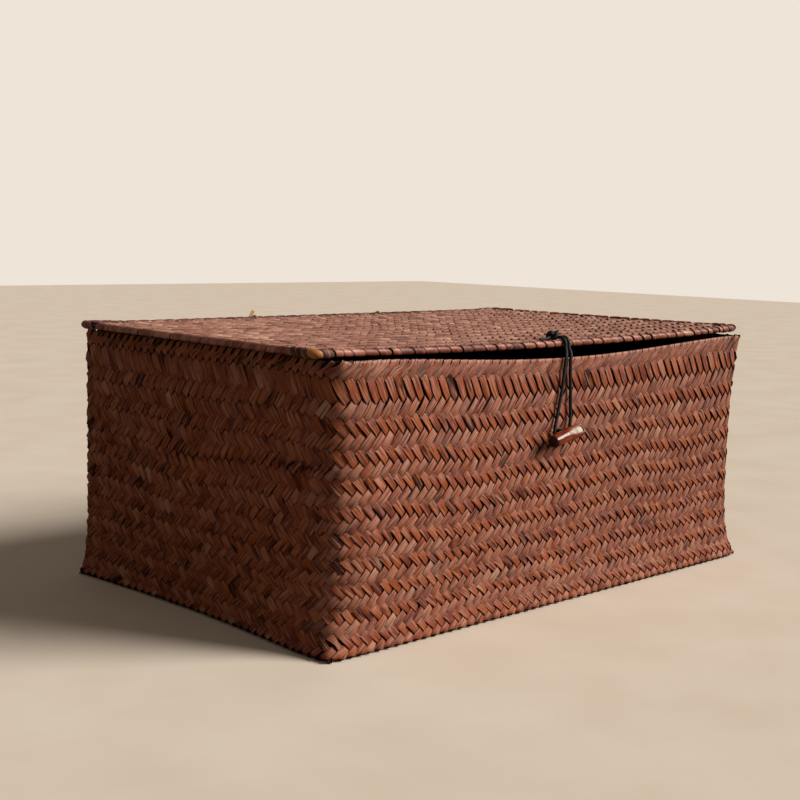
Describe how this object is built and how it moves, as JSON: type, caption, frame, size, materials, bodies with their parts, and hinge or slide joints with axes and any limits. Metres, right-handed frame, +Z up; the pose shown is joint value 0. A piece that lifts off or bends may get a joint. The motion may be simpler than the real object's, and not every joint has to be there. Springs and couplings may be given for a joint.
{
  "type": "plaited rush box with hinged lid",
  "caption": "Rectangular plaited rush storage box with a cane-edged lid on straw ties, closed by an elastic cord loop over a wooden toggle.",
  "frame": {"origin": "middle of the base, on the surface that the box stands on", "axes": "+X to the right along the front wall, -Y out of the front wall, +Z up"},
  "size_m": [0.3965, 0.2567, 0.1668],
  "materials": {
    "body_rush": "plaited dyed rush, satin strips",
    "lid_rush": "plaited dyed rush, satin strips",
    "binding_strip": "flat wound strip, slight gloss",
    "ochre_strip": "flat wound strip, slight gloss",
    "cane": "natural cane",
    "straw_tie": "undyed straw strand",
    "black_cord": "braided elastic cord",
    "toggle_wood": "polished dark twig with a pale cut face"
  },
  "bodies": {
    "basket": {"basket_shell": "body_rush", "rim_turnover": "body_rush", "hinge_tie_left": "straw_tie", "hinge_tie_right": "straw_tie", "hinge_knot_left": "straw_tie", "hinge_knot_right": "straw_tie", "toggle_tie": "black_cord", "toggle_stop_knot": "black_cord"},
    "lid": {"lid_panel": "lid_rush", "lid_cane": "cane", "lid_binding_front": "binding_strip", "lid_binding_right": "binding_strip", "lid_binding_back": "binding_strip", "lid_binding_left": "binding_strip", "corner_wrap_front_left": "ochre_strip", "corner_wrap_front_right": "binding_strip", "corner_wrap_back_right": "binding_strip", "corner_wrap_back_left": "binding_strip", "loop_knot": "black_cord", "loop_stitch": "black_cord", "loop_stitch_knot": "black_cord", "loop_tail": "black_cord", "loop_root_left": "black_cord", "loop_root_right": "black_cord"},
    "loop": {"cord_loop": "black_cord"},
    "toggle": {"toggle": "toggle_wood"}
  },
  "joints": [
    {"name": "lid_hinge", "type": "hinge", "parent": "basket", "child": "lid", "pos_m": [0, 0.1147, 0.16115], "axis": [-1, 0, 0], "range_deg": [0, 110]},
    {"name": "loop_swing", "type": "hinge", "parent": "lid", "child": "loop", "pos_m": [0.0037, -0.1117, 0.15875], "axis": [-1, 0, 0], "range_deg": [0, 90], "deforming": ["cord_loop"]},
    {"name": "toggle_turn", "type": "hinge", "parent": "basket", "child": "toggle", "pos_m": [-0.0078, -0.12744, 0.1069], "axis": [0, 1, 0], "range_deg": [-90, 90]}
  ]
}
